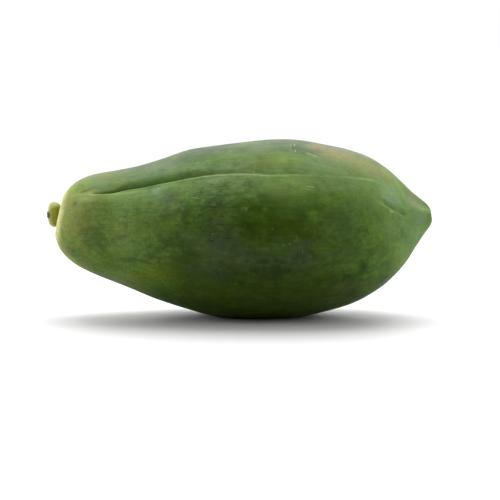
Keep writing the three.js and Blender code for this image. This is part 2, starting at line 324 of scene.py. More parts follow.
class Sheet:
    """A node tree that is written as Python expressions."""

    def __init__(self, tree):
        self.tree = tree

    def add(self, kind, sockets=None, output=0, curve=None, **settings):
        """Adds one node: first its settings, then its sockets' values or links."""
        node = self.tree.nodes.new(kind)
        for name, value in settings.items():
            setattr(node, name, value)
        if curve:
            points = node.mapping.curves[0].points
            while len(points) < len(curve):
                points.new(0.5, 0.5)
            for point, place in zip(points, curve):
                point.location = place
            node.mapping.update()
        for key, value in (sockets or {}).items():
            socket = node.inputs[key]
            for item in value if isinstance(value, list) else [value]:
                if isinstance(item, Value):
                    self.tree.links.new(item.socket, socket)
                else:
                    socket.default_value = item
        return Value(self, node.outputs[output]) if len(node.outputs) else node

    def sum(self, operation, left, right):
        """A Math node, or a Vector Math node where one side is a vector or a colour."""

        def many(side):
            return isinstance(side, tuple) or (
                isinstance(side, Value) and side.socket.type in {"VECTOR", "RGBA"}
            )

        kind = "ShaderNodeMath"
        if many(left) or many(right):
            kind = "ShaderNodeVectorMath"
            left, right = ((v,) * 3 if isinstance(v, (int, float)) else v for v in (left, right))
        return self.add(kind, {0: left, 1: right}, operation=operation)

    def fn(self, operation, *values):
        """A Math node of one to three values."""
        return self.add("ShaderNodeMath", dict(enumerate(values)), operation=operation)

    def clamp(self, value, low=0.0, high=1.0):
        """The value, held between low and high."""
        return self.fn("MAXIMUM", self.fn("MINIMUM", value, high), low)

    def bell(self, away):
        """1 in the middle, and nearly 0 from 2 on to both sides."""
        return self.fn("EXPONENT", -(away * away))

    def measure(self, operation, *vectors):
        """A Vector Math node that gives a number."""
        return self.add(
            "ShaderNodeVectorMath", dict(enumerate(vectors)), output="Value", operation=operation
        )

    def join(self, x, y, z):
        return self.add("ShaderNodeCombineXYZ", {0: x, 1: y, 2: z})

    def split(self, vector):
        parts = self.add("ShaderNodeSeparateXYZ", {0: vector})
        return parts, parts.out("Y"), parts.out("Z")

    def fade(self, value, start, end, low=0.0, high=1.0, smooth=True):
        """low before start and high after end, with a smooth change between them."""
        return self.add(
            "ShaderNodeMapRange",
            {0: value, 1: start, 2: end, 3: low, 4: high},
            interpolation_type="SMOOTHSTEP" if smooth else "LINEAR",
            clamp=True,
        )

    def reach(self, value, start, end, low=0.0, high=1.0, smooth=True):
        """A fade with its start and end in millimetres."""
        return self.fade(value, start * MM, end * MM, low, high, smooth)

    def plot(self, along, points, unit=1.0):
        """A smooth line through (mm along, result) points, level past its ends."""
        points = [(a * MM, result * unit) for a, result in points]
        start, end = points[0][0], points[-1][0]
        least = min(result for _, result in points)
        span = max(result for _, result in points) - least or 1.0
        share = self.add(
            "ShaderNodeFloatCurve",
            {"Value": self.fade(along, start, end, smooth=False)},
            curve=[((a - start) / (end - start), (r - least) / span) for a, r in points],
        )
        return share * span + least

    def mix(self, share, first, second, blend="MIX"):
        """A colour between first and second, or from first to its blend with second."""
        settings = {"data_type": "RGBA", "blend_type": blend}
        return self.add("ShaderNodeMix", {0: share, 6: first, 7: second}, output=2, **settings)

    def choose(self, test, if_false, if_true):
        """A number between if_false and if_true."""
        return self.add("ShaderNodeMix", {0: test, 2: if_false, 3: if_true}, data_type="FLOAT")

    def noise(self, place, scale, detail=2.0, roughness=0.5):
        return self.add(
            "ShaderNodeTexNoise",
            {"Vector": place, "Scale": scale, "Detail": detail, "Roughness": roughness},
            noise_dimensions="3D",
        )


# ---- Sizes and colours, and the meshes that trees make of them -------------------------------


def number_property(name, description, default, **more):
    return FloatProperty(name=name, description=description, default=default, **more)


def count_property(name, description, default, least):
    return IntProperty(name=name, description=description, default=default, min=least)


def length_property(name, description, millimetres):
    return number_property(name, description, millimetres * MM, unit="LENGTH")


def angle_property(name, description, degrees):
    return number_property(name, description, degrees * DEGREE, subtype="ANGLE")


def color_property(name, description, red, green, blue):
    return FloatVectorProperty(
        name=name,
        description=description,
        default=(red, green, blue, 1),
        size=4,
        subtype="COLOR",
        min=0,
        max=1,
    )


def number_fields(group):
    """The single numbers of a PropertyGroup: a tree has an input for each of them."""
    fields = (group.bl_rna.properties[name] for name in type(group).__annotations__)
    return [field for field in fields if not field.is_array]


def geometry_sheet(name, group, more=()):
    """A Geometry Nodes tree with named inputs: the sheet, and the inputs' values by name."""
    tree = bpy.data.node_groups.new(name, "GeometryNodeTree")
    tree.is_modifier = True
    tree.interface.new_socket("Geometry", in_out="OUTPUT", socket_type="NodeSocketGeometry")
    for label, kind in (("Geometry", "Geometry"), ("Material", "Material"), *more):
        tree.interface.new_socket(label, in_out="INPUT", socket_type="NodeSocket" + kind)
    for field in number_fields(group):
        kind = "NodeSocket" + field.type.title()
        socket = tree.interface.new_socket(field.name, in_out="INPUT", socket_type=kind)
        socket.default_value = field.default
    sheet = Sheet(tree)
    inputs = tree.nodes.new("NodeGroupInput")
    return sheet, {s.name: Value(sheet, s) for s in inputs.outputs if s.name}


def finish_tree(sheet, geometry, material, spent=()):
    """Drops the attributes that are spent, and ends the tree with its material."""
    for name in spent:
        geometry = sheet.add("GeometryNodeRemoveAttribute", {"Geometry": geometry, "Name": name})
    real = sheet.add("GeometryNodeRealizeInstances", {"Geometry": geometry})
    smooth = sheet.add("GeometryNodeSetShadeSmooth", {"Geometry": real, "Shade Smooth": True})
    painted = sheet.add("GeometryNodeSetMaterial", {"Geometry": smooth, "Material": material})
    sheet.add("NodeGroupOutput", {"Geometry": painted})
    return sheet.tree


def plain_mesh(name, vertices, tree, group, material, **more):
    """Runs a tree on a line of starting points and returns the result as an ordinary object."""
    start = bpy.data.meshes.new(name + "_start")
    start.from_pydata(vertices, [(i, i + 1) for i in range(len(vertices) - 1)], [])
    maker = bpy.data.objects.new(name + "_maker", start)
    bpy.context.scene.collection.objects.link(maker)
    modifier = maker.modifiers.new("Make", "NODES")
    modifier.node_group = tree
    settings = {field.name: getattr(group, field.identifier) for field in number_fields(group)}
    settings.update(more, Material=material)
    for item in tree.interface.items_tree:
        if item.in_out == "INPUT" and item.name in settings:
            modifier[item.identifier] = settings[item.name]
    maker.update_tag()
    graph = bpy.context.evaluated_depsgraph_get()
    mesh = bpy.data.meshes.new_from_object(maker.evaluated_get(graph), depsgraph=graph)
    mesh.name = name
    # The tree's first primitive leaves an empty slot before the material's.
    mesh.materials.clear()
    mesh.materials.append(material)
    maker.modifiers.remove(modifier)
    bpy.data.objects.remove(maker)
    bpy.data.meshes.remove(start)
    if not mesh.polygons:
        raise RuntimeError(f"{name} came out empty")
    piece = bpy.data.objects.new(name, mesh)
    bpy.context.scene.collection.objects.link(piece)
    return piece


def move(sheet, geometry, **change):
    """Sets the points' Position, or moves them by an Offset."""
    return sheet.add("GeometryNodeSetPosition", {"Geometry": geometry, **change})


def name_attributes(sheet, geometry, **values):
    """Keeps values on the points under their names."""
    for name, value in values.items():
        geometry = sheet.add(
            "GeometryNodeStoreNamedAttribute",
            {"Geometry": geometry, "Name": name, "Value": value},
            data_type="FLOAT",
            domain="POINT",
        )
    return geometry


def named(sheet, *names):
    """The values that the points keep under these names."""
    return [
        sheet.add("GeometryNodeInputNamedAttribute", {"Name": name}, data_type="FLOAT")
        for name in names
    ]


LINE_STEPS = 24  # steps between two stations of a body
LINE_POINTS = 480  # points along a body before its line is evened out


def ring_skin(sheet, stations, rows, columns, smoothing):
    """A closed tube with a row of points for each step along the stations.

    Its points keep their place along the body, the height of their ring's centre, the ring's
    radius and their angle round it as attributes.
    """
    line = sheet.add("GeometryNodeMeshToCurve", {"Mesh": stations})
    line = sheet.add("GeometryNodeCurveSplineType", {"Curve": line}, spline_type="CATMULL_ROM")
    line = sheet.add(
        "GeometryNodeSetSplineResolution", {"Geometry": line, "Resolution": LINE_STEPS}
    )
    line = sheet.add(
        "GeometryNodeResampleCurve", {"Curve": line, "Count": LINE_POINTS}, mode="COUNT"
    )
    ends = sheet.add("GeometryNodeCurveEndpointSelection", {"Start Size": 1, "End Size": 1})
    place = sheet.add("GeometryNodeInputPosition")
    even = sheet.add(
        "GeometryNodeBlurAttribute",
        {"Value": place, "Iterations": smoothing, "Weight": 1 - ends},
        data_type="FLOAT_VECTOR",
    )
    line = move(sheet, line, Position=even)

    sizes = {"Side Segments": rows - 2, "Fill Segments": 1, "Radius": 1.0, "Depth": 1.0}
    tube = sheet.add(
        "GeometryNodeMeshCylinder", {"Vertices": columns, **sizes}, fill_type="TRIANGLE_FAN"
    )
    x, y, z = sheet.split(sheet.add("GeometryNodeInputPosition"))
    step = ((z + 0.5) * (rows - 2) + 1) / rows
    middle = (x * x + y * y) < 0.25
    sample = sheet.add(
        "GeometryNodeSampleCurve",
        {"Curves": line, "Factor": sheet.choose(middle, step, z > 0)},
        output="Position",
        mode="FACTOR",
    )
    along, height, radius = sheet.split(sample)
    return name_attributes(
        sheet,
        tube,
        along=along,
        height=height,
        radius=sheet.fn("MAXIMUM", radius, 0.0),
        turn=sheet.fn("ARCTAN2", -y, x),
    )


def place_on_ring(sheet, along, height, radius, turn, lean, depth_share=1.0):
    """The point at an angle round a leaning ring."""
    up = radius * sheet.fn("SINE", turn)
    return sheet.join(
        along - up * sheet.fn("SINE", lean),
        -(radius * sheet.fn("COSINE", turn) * depth_share),
        height + up * sheet.fn("COSINE", lean),
    )


# ---- The fruit -------------------------------------------------------------------------------


class FruitSize(PropertyGroup):
    """Sizes of the fruit's body."""

    rows: count_property("Rows", "Rows of points along the fruit", 212, 40)
    columns: count_property("Columns", "Points round the fruit", 460, 40)
    smoothing: count_property("Smoothing", "How much the long outline is evened out", 10, 0)
    depth_share: number_property("Depth share", "Depth from front to back over height", 0.98)
    stalk_lean: angle_property("Stalk lean", "How far the stalk end bends upwards", 12.5)
    tip_lean: angle_property("Tip lean", "How far the blossom end bends upwards", 7)
    valleys: number_property("Valleys", "Depth of the valleys between the lobes", 1.0, min=0)
    creases: number_property("Creases", "Depth of the sharp creases", 1.0, min=0)
    swells: length_property("Swells", "Height of the skin's broad unevenness", 0.4)
    ripples: length_property("Ripples", "Height of the fine ridges that run along the fruit", 0.16)
    pleats: length_property("Pleats", "Height of the fine pleats at both ends", 0.05)
    scar: length_property("Scar", "Depth of the blossom's scar", 0.7)
    foot: length_property("Foot", "How much of the underside is pressed flat", 1.7)
    seed: number_property("Seed", "Chooses the unevenness", 3.7)


def bend_of_fruit(sheet, along, values):
    """How far a ring leans back, from its place along the fruit."""
    stalk = sheet.reach(along, -30, -104, smooth=False)
    tip = sheet.reach(along, 45, 95)
    return tip * values["Tip lean"] - stalk * values["Stalk lean"]


def angle_from(sheet, line, turn):
    """The angle from a line on the skin up to a point, the short way round."""
    return sheet.fn("WRAP", turn - line, math.pi, -math.pi)


def valley_depth(sheet, along, radius, turn):
    """How deep the five valleys lie under the plain form.

    They are sharp and narrow at the stalk end, and round and wide at the blossom end.
    """
    rounding = sheet.reach(along, -10, 70, 0.07, 0.32)
    floor = sheet.reach(along, 30, 90, 1.0, 2.3)
    strength = sheet.reach(along, -40, 40, 1.0, 0.38) * sheet.reach(radius, 0, 14)
    strength = strength * sheet.reach(along, -96, -66)
    half = math.pi / len(VALLEYS)
    total = 0.0
    for degrees, depth in VALLEYS:
        away = sheet.clamp(angle_from(sheet, degrees * DEGREE, turn), -half, half)
        rise = sheet.fn("SINE", away * (math.pi / 2 / half))
        wall = sheet.fn("SQRT", rise * rise + rounding * rounding)
        total = total + depth * MM * sheet.fn("MAXIMUM", 1 - wall**floor, 0.0)
    return total * strength


def crease_shape(sheet, along, radius, turn, crease):
    """One crease: how deep the skin lies there, and how close to its line a point is, 0 to 1, for its
    dark line of painted shade.
    """
    line = sheet.plot(along, crease.way, DEGREE)
    depth = sheet.plot(along, crease.depth)
    start, end = crease.depth[0][0] * MM, crease.depth[-1][0] * MM
    depth = depth * ((along > start) * (along < end))
    away = angle_from(sheet, line, turn) * radius
    up, down = (
        sheet.plot(along, side, MM) if isinstance(side, tuple) else side * MM
        for side in (crease.above, crease.below)
    )
    above = sheet.fn("MAXIMUM", 1 - away / up, 0.0) * (away > 0)
    below = sheet.fn("MAXIMUM", 1 + away / down, 0.0) * (away < 0.000001)
    shape = above**2 + below**2
    if crease.lip:
        # The skin swells a little on both sides before it levels out.
        lip = sheet.bell((away + down * 0.9) / (down * 0.55))
        bulge = sheet.bell((away - up * 1.1) / (up * 0.6))
        shape = shape - (lip + bulge * 0.8) * crease.lip / max(d for _, d in crease.depth)
    mark = sheet.fn("MAXIMUM", 1 - sheet.fn("ABSOLUTE", away) / (LINE_REACH * MM), 0.0)
    return depth * shape * MM, mark * sheet.clamp(depth * 2.0)


def crease_tones(sheet, along, radius, turn, crease):
    """The painted shade of the fold over a crease, and the painted highlights on the edge under it and
    on its sides, 0 to 1 each.
    """
    away = angle_from(sheet, sheet.plot(along, crease.way, DEGREE), turn) * radius
    fold = sheet.fn("MAXIMUM", 1 - away / (FOLD_REACH * MM), 0.0) * (away > 0)
    edge = sheet.bell(away / sheet.plot(along, EDGE_WIDTH, MM)) * (away < 0)
    ridge = sheet.bell(away / (RIDGE_REACH * MM))
    return (
        fold * sheet.plot(along, FOLD),
        edge * sheet.plot(along, EDGE),
        ridge * sheet.plot(along, RIDGE),
    )


def fruit_tree(size):
    sheet, values = geometry_sheet("Papaya fruit", size)
    skin = ring_skin(
        sheet, values["Geometry"], values["Rows"], values["Columns"], values["Smoothing"]
    )
    along, height, radius, column = named(sheet, "along", "height", "radius", "turn")
    # The lobes wander a little from side to side along the fruit, in waves of 122 mm.
    wave = sheet.fn("SINE", (along + 56 * MM) * (2 * math.pi / (122 * MM)))
    turn = column + wave * (2.3 * DEGREE) + 1.3 * DEGREE
    lean = bend_of_fruit(sheet, along, values)
    plain = place_on_ring(sheet, along, height, radius, turn, lean, values["Depth share"])
    skin = move(sheet, skin, Position=plain)

    depth = valley_depth(sheet, along, radius, column) * values["Valleys"]
    shapes = [crease_shape(sheet, along, radius, turn, crease) for crease in CREASES.values()]
    crease_depth = sum((deep for deep, _ in shapes), 0.0)
    crease_line = sum((line for _, line in shapes), 0.0)
    depth = depth + crease_depth * values["Creases"]
    fold, edge, ridge = crease_tones(sheet, along, radius, turn, CREASES["main"])

    # The unevenness is stretched along the fruit, and dies out at its two ends.
    place = sheet.add("GeometryNodeInputPosition")
    calm = sheet.reach(radius, 6, 20)
    slow = sheet.noise(place * (0.45, 1.0, 1.0) + values["Seed"], 28.0)
    fine = sheet.noise(place * (0.16, 1.0, 1.0) + values["Seed"], 190.0, detail=3.0)
    patchy = sheet.fade(sheet.noise(place + values["Seed"], 24.0, detail=1.0), 0.42, 0.62)
    depth = depth - (slow - 0.5) * calm * values["Swells"] * 2.2
    depth = depth - (fine - 0.5) * calm * (0.35 + patchy) * values["Ripples"] * 1.6
    # Fine pleats draw the skin in round the stalk and round the nipple.
    pleats = sheet.fn("SINE", turn * 23 + sheet.noise(place, 60.0) * 9)
    near_end = sheet.reach(radius, 15, 8) * sheet.reach(radius, 3, 7)
    depth = depth + pleats * near_end * values["Pleats"]
    # The blossom's scar is a small star-shaped pit in the nipple.
    star = sheet.fn("COSINE", turn * 5) * 0.5 + 0.9
    scar = sheet.reach(radius / star, 2.6, 0.6) * (along > 0)
    depth = depth + scar * values["Scar"]

    skin = move(sheet, skin, Offset=sheet.add("GeometryNodeInputNormal") * -depth)
    # The creases' lines, the fold, the edge and the ridge are kept for the skin's painted shade and
    # painted highlights.
    skin = name_attributes(
        sheet,
        skin,
        crease=sheet.fn("MINIMUM", crease_line, 1.0),
        scar=scar,
        fold=fold,
        edge=edge,
        ridge=ridge,
        upward=sheet.fn("SINE", turn) * sheet.reach(radius, 1, 22),
    )

    # The underside is pressed flat where the fruit rests.
    x, y, z = sheet.split(place)
    lowest = sheet.add(
        "GeometryNodeAttributeStatistic", {"Geometry": skin, "Attribute": z}, output="Min"
    )
    flat = sheet.fn("SMOOTH_MAX", z, lowest + values["Foot"], 0.4 * MM)
    skin = move(sheet, skin, Position=sheet.join(x, y, flat))
    return finish_tree(sheet, skin, values["Material"], spent=("height", "radius", "turn"))


def settle(piece, low, high):
    """Moves a mesh's points so that its box stands where the given one does."""
    xs, ys, zs = zip(*(v.co for v in piece.data.vertices))
    x = (low.x + high.x - min(xs) - max(xs)) / 2
    y = (low.y + high.y - min(ys) - max(ys)) / 2
    shift = Vector((x, y, low.z - min(zs)))
    for vertex in piece.data.vertices:
        vertex.co += shift
    return shift


def on_skin(fruit, along, degrees, shift):
    """The place on the skin at an angle round the fruit, in metres."""
    heights = [(a * MM, h * MM) for a, h, _ in FRUIT_RINGS[4:-4]]
    height = heights[0][1]
    for (a0, h0), (a1, h1) in zip(heights, heights[1:]):
        if a0 <= along * MM <= a1:
            height = h0 + (h1 - h0) * (along * MM - a0) / (a1 - a0)
    turn = degrees * DEGREE
    away = Vector((0, -math.cos(turn), math.sin(turn)))
    axis = Vector((along * MM, 0, height)) + shift
    hit, place, _, _ = fruit.ray_cast(axis + away * 0.2, -away)
    if not hit:
        raise RuntimeError(f"nothing of the skin is at {along}, {degrees}")
    return place


class PAPAYA_OT_fruit(Operator):
    """Makes the fruit's lobed body from its rings, valleys and creases"""

    bl_idname = "papaya.fruit"
    bl_label = "Fruit"

    def execute(self, context):
        size = context.scene.papaya_fruit
        vertices = [(a * MM, h * MM, r * MM) for a, h, r in FRUIT_RINGS]
        material, sheet = material_sheet("papaya_green_skin")
        fruit = plain_mesh("papaya_skin", vertices, fruit_tree(size), size, material)
        shift = settle(fruit, *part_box("fruit"))
        paint_skin(sheet, context.scene.papaya_skin, fruit, shift)
        fruit["shift"] = shift[:]
        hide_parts("fruit")
        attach(fruit, "root")
        return {"FINISHED"}


# ---- The skin's finish -----------------------------------------------------------------------


class SkinLook(PropertyGroup):
    """Colours and gloss of the fruit's skin."""

    green: color_property("Green", "The skin's main colour", 0.082, 0.158, 0.025)
    # Deep green and slate also make the painted shade on the flanks in the middle of the fruit, and
    # deep green the painted shade underneath.
    deep: color_property("Deep green", "The flanks' darker patches", 0.032, 0.062, 0.001)
    # Dark: the darkest green, used as painted shade on the flanks.
    dark: color_property("Dark", "The darkest green, painted as shade", 0.014, 0.03, 0.001)
    slate: color_property("Slate", "The flanks' bluish patches", 0.049, 0.076, 0.026)
    olive: color_property("Olive", "Its yellower patches", 0.096, 0.15, 0.01)
    # Bloom also paints the upper side paler, partly as painted light.
    bloom: color_property("Bloom", "The waxy upper side", 0.111, 0.19, 0.055)
    ash: color_property("Ash", "Dull greyish patches", 0.165, 0.19, 0.098)
    pink: color_property("Pink", "The ripening patch's warmer edge", 0.2, 0.145, 0.06)
    # Crown shade: a darker green, painted as shade on the top.
    crown_shade: color_property("Crown shade", "The top of the upper side", 0.052, 0.082, 0.034)
    # Painted sheen: a greyer colour that stands in for sheen on the very top.
    painted_sheen: color_property("Painted sheen", "The painted sheen on the very top", 0.105, 0.118, 0.09)
    # Fresh is also the painted highlight on the ridge by the main crease; fold and edge are painted
    # shade over the main crease and a painted highlight under it.
    fresh: color_property("Fresh", "Its paler green patches", 0.135, 0.215, 0.045)
    fold: color_property("Fold", "The fold over the main crease", 0.045, 0.1, 0.008)
    edge: color_property("Edge", "The pale edge under the main crease", 0.23, 0.33, 0.095)
    stalk_end: color_property("Stalk end", "The paler skin at the stalk", 0.235, 0.26, 0.064)
    rim: color_property("Rim", "The edge of the hollow round the stalk", 0.6, 0.58, 0.26)
    blush: color_property("Blush", "The patch that has begun to ripen", 0.2, 0.2, 0.075)
    bruise: color_property("Bruise", "Small dark spots", 0.06, 0.06, 0.02)
    russet: color_property("Russet", "Small brown smudges", 0.17, 0.13, 0.045)
    frost: color_property("Frost", "A spot of bluish bloom", 0.17, 0.25, 0.15)
    cork: color_property("Cork", "Healed scratches and specks", 0.42, 0.5, 0.26)
    roughness: number_property("Roughness", "The skin's roughness where it is smoothest", 0.5)


def material_sheet(name):
    """A new material and the sheet of its empty tree."""
    material = bpy.data.materials.new(name)
    material.use_nodes = True
    material.node_tree.nodes.clear()
    return material, Sheet(material.node_tree)


def coat_of_paint(sheet, sockets):
    """Ends a material with its shader."""
    shader = sheet.add("ShaderNodeBsdfPrincipled", sockets)
    sheet.add("ShaderNodeOutputMaterial", {"Surface": shader})


def attributes(sheet, *names):
    """The values that a mesh keeps on its points under these names."""
    settings = {"output": "Fac", "attribute_type": "GEOMETRY"}
    return [sheet.add("ShaderNodeAttribute", attribute_name=name, **settings) for name in names]


def spot(sheet, place, centre, radius, ragged):
    """1 in the middle of a spot on the skin and 0 outside its ragged edge."""
    distance = sheet.measure("DISTANCE", place, tuple(centre))
    return sheet.fade(distance + ragged * radius * 0.7, radius, radius * 0.1)


def stroke(sheet, place, start, end, width, soft=0.7, ragged=0.0):
    """1 on a straight mark from start to end and 0 beside it."""
    run = end - start
    from_start = place - tuple(start)
    along = sheet.measure("DOT_PRODUCT", from_start, tuple(run / run.length_squared))
    along = sheet.clamp(along)
    nearest = sheet.join(along * run.x, along * run.y, along * run.z)
    distance = sheet.measure("DISTANCE", from_start, nearest)
    return sheet.fade(distance + ragged * width * 0.7, width, width * (1 - soft))


def paint_skin(sheet, look, fruit, shift):
    """Builds the skin's material on its sheet, with its marks at their places on the fruit."""
    fade, reach, noise = sheet.fade, sheet.reach, sheet.noise
    place = sheet.add("ShaderNodeTexCoord", output="Object")
    along, upward, crease, fold, edge, ridge, scar = attributes(
        sheet, "along", "upward", "crease", "fold", "edge", "ridge", "scar"
    )

    def at(mark):
        return on_skin(fruit, mark[0], mark[1], shift)

    # Clouds at three sizes, drawn out along the fruit, and fine mottling.
    long_place = place * (0.6, 1.0, 1.0)
    broad = noise(long_place, 22.0)
    patches = noise(long_place + 3.1, 48.0, detail=3.0, roughness=0.55)
    waxy = noise(long_place + 7.7, 40.0, detail=4.0, roughness=0.6)
    blotch = noise(place + 1.3, 130.0, detail=3.0, roughness=0.6)
    streaks = noise(place * (0.1, 1.0, 1.0), 620.0)
    mottle = noise(long_place, 380.0, detail=3.0, roughness=0.6)
    ragged = (blotch - 0.5) * 1.6 + (mottle - 0.5) * 0.8

    def cloud(centre, length, width):
        """1 in the middle of a soft patch and 0 outside it."""
        away = (place - tuple(at(centre))) * (1 / length / MM, 1 / width / MM, 1 / width / MM)
        return fade(sheet.measure("LENGTH", away) + ragged, 1.35, 0.2)

    color = tuple(look.green)

    def paint(share, name):
        """Lays one of the look's colours over what is there."""
        nonlocal color
        color = sheet.mix(share, color, tuple(getattr(look, name)))

    # The upper side is waxy and painted paler, and the flanks are deep green in the middle of the
    # fruit:
    # partly the skin's own bloom and colour, partly painted light on top and painted shade on the
    # flanks.
    wander = (broad - 0.5) * 0.7 + (blotch - 0.5) * 0.35
    wander_along = along + wander * 40 * MM  # for edges that cross the fruit raggedly
    top = fade(upward + wander * 0.7, 0.35, 0.8)
    paint(top * 0.9, "bloom")
    # Painted shade: the very top is painted a darker green, which tones down the light there.
    crown_shade = fade(upward + wander * 0.3, 0.84, 1.0)
    paint(crown_shade * reach(wander_along, 88, 50) * 0.85, "crown_shade")
    flank = fade(upward + wander, 0.54, 0.1)
    patchy_along = along + (patches - 0.5) * 40 * MM
    middle = reach(patchy_along, -52, -10) * reach(patchy_along, 82, 35)
    deep = sheet.mix(fade(waxy, 0.46, 0.58), tuple(look.deep), tuple(look.slate))
    color = sheet.mix(flank * middle * 0.92, color, deep)
    paint(fade(patches, 0.5, 0.74) * 0.5, "olive")
    paint(fade(waxy, 0.5, 0.62) * top * 0.3, "ash")
    paint(fade(blotch, 0.52, 0.72) * (0.3 - flank * 0.2), "bloom")
    paint(fade(blotch, 0.46, 0.28) * (0.5 - top * 0.35), "deep")
    # Painted shade: the underside is painted deep green across the middle of the fruit, and the lowest
    # part all along it but for the tip.
    under = fade(upward + wander * 0.5, -0.05, -0.5)
    under = under * reach(along, -60, -20) * reach(along, 75, 40)
    belly = fade(upward + wander * 0.3, -0.45, -0.85) * 0.7 * reach(wander_along, 104, 78)
    paint(sheet.fn("MAXIMUM", under * 0.85, belly), "deep")

    # The stalk end is paler, and the hollow's rim is nearly cream.
    uneven = (patches - 0.5) * 30 * MM + (blotch - 0.5) * 44 * MM
    stalk_end = reach(along + uneven, -68, -104)
    paint(stalk_end * 0.85, "stalk_end")
    rim = reach(along + uneven * 0.06, -99.4, -102.8)
    paint(rim * fade(upward, 0.15, 0.5, 0.85, 0.55), "rim")

    # A patch on the upper side has begun to ripen.
    start, end = (at(mark) for mark in RIPE_PATCH)
    ripe = stroke(sheet, place, start, end, RIPE_WIDTH, soft=0.98, ragged=ragged)
    paint(ripe * 0.78, "blush")

    # Painted highlight: the ridge along the main crease is painted paler.
    paint(ridge * 0.6, "fresh")
    # Lays the patches, with painted shade and painted highlights among them.
    for name, strength, centre, length, width in CLOUDS:
        paint(cloud(centre, length, width) * strength, name)

    # Painted sheen: the very top is painted greyer.
    paint(fade(upward, 0.9, 1.0) * reach(wander_along, 96, 60) * 0.3, "painted_sheen")

    # Fine streaks and mottling, plainer on the waxy side.
    depth = fade(upward + wander, 0.75, 0.3, 0.7, 1.4) * (1 - stalk_end * 0.4)
    depth = depth * reach(along, -20, 15, 1.0, 0.62)
    shade = (streaks - 0.5) * fade(broad, 0.4, 0.6, 0.2, 0.8) + (mottle - 0.5) * 0.75
    shade = shade + (noise(place * (0.7, 1.0, 1.0), 1050.0) - 0.5) * 0.6
    # Fine lines fan out below the main crease, and short wrinkles lie under them.
    slanted = {"Vector": place, "Angle": 24 * DEGREE}
    slanted = sheet.add("ShaderNodeVectorRotate", slanted, rotation_type="Y_AXIS")
    combed = noise(slanted * (0.08, 1.0, 1.0), 700.0, detail=1.0)
    shade = shade + (combed - 0.5) * cloud((-12, 38), 20, 10) * 0.8
    dashes = fade(noise(place * (0.3, 1.0, 1.0), 560.0, detail=1.0), 0.56, 0.7)
    wrinkles = dashes * cloud((-13, 16), 15, 17)
    shade = sheet.fn("EXPONENT", shade * depth + (blotch - 0.5) * 0.9 - wrinkles * 0.6)
    hue = (noise(long_place + 5.9, 120.0, detail=3.0, roughness=0.6) - 0.5) * depth * 0.8
    tone = sheet.join(shade * (1 + hue * 0.4), shade, shade * (1 - hue * 0.9))
    color = sheet.mix(1.0, color, tone, blend="MULTIPLY")

    # The creases' lines and the fold over the main one are painted a deeper green as shade, and its
    # lower edge is painted pale as a highlight.
    paint(fold * 0.7, "fold")
    paint(edge * 0.7, "edge")
    paint(fade(crease, 0.35, 1.0) * 0.5, "deep")

    bruises = sum((spot(sheet, place, at(m), m[2] * MM, ragged) for m in BRUISES), 0.0)
    paint(sheet.fn("MINIMUM", bruises, 1.0) * 0.5, "bruise")
    scratches = 0.0
    for start, end, strength in SCRATCHES:
        scratch = stroke(sheet, place, at(start), at(end), SCRATCH_WIDTH)
        scratches = scratches + scratch * strength
    scratches = sheet.fn("MINIMUM", scratches, 1.0) * fade(mottle, 0.15, 0.32)
    paint(scratches * 0.7, "cork")

    # Breathing pores: faint pale dots, and only in some of the cells.
    cells = sheet.add("ShaderNodeTexVoronoi", {"Vector": place, "Scale": 210.0})
    chosen = sheet.split(cells.out("Color"))[0] > 0.45
    pores = fade(cells, 0.1, 0.03) * chosen
    paint(pores * 0.2, "cork")
    paint(scar * 0.75, "bruise")

    rough = look.roughness + (mottle - 0.5) * 0.12 + top * 0.12 + scratches * 0.2 + scar * 0.3
    grain = noise(place, 1500.0) * 0.4 + mottle * 0.9 - pores * 0.25
    relief = grain - wrinkles * 1.2 + streaks * 0.6 + scratches * 0.3
    relief = {"Height": relief, "Strength": 0.3, "Distance": 0.5 * MM}
    bump = sheet.add("ShaderNodeBump", relief)
    sockets = {"Base Color": color, "Roughness": rough, "Normal": bump}
    coat_of_paint(sheet, {**sockets, "IOR": 1.4, "Specular IOR Level": 0.13})


# ---- The stalk -------------------------------------------------------------------------------


class StalkSize(PropertyGroup):
    """Sizes and colours of the stalk's stub."""

    rows: count_property("Rows", "Rows of points along the stub", 110, 12)
    columns: count_property("Columns", "Points round the stub", 150, 12)
    smoothing: count_property("Smoothing", "How much its profile is evened out", 3, 0)
    length: length_property("Length", "From the hollow's floor", 10.5)
    lean: angle_property("Lean", "How far it points up where it leaves the fruit", 12.5)
    flutes: number_property("Flutes", "Share of the radius that its five flutes take", 0.035)
    lumps: length_property("Lumps", "Height of its unevenness", 0.45)
    shoulder: length_property("Shoulder", "How far its upper side stands out", 0.9)
    crumbs: length_property("Crumbs", "Height of the crumbs on its scar", 0.45)
    bark: color_property("Bark", "The stub's main colour", 0.31, 0.33, 0.032)
    bark_light: color_property("Light bark", "Its raised parts", 0.35, 0.4, 0.09)
    # Under, neck and upper side are painted shade: on the stub's underside, where it enters the
    # hollow, and on its top.
    under: color_property("Under", "Its underside", 0.17, 0.17, 0.02)
    neck_shade: color_property("Neck shade", "Where it enters the hollow", 0.12, 0.12, 0.014)
    dry: color_property("Dry", "The drier skin towards the cut end", 0.4, 0.39, 0.14)
    upper: color_property("Upper side", "The shaded green on its upper side", 0.19, 0.23, 0.055)
    cut_edge: color_property("Cut's edge", "The brown line round the scar", 0.3, 0.24, 0.12)
    cut: color_property("Cut", "The dried scar where it was cut", 0.075, 0.078, 0.05)


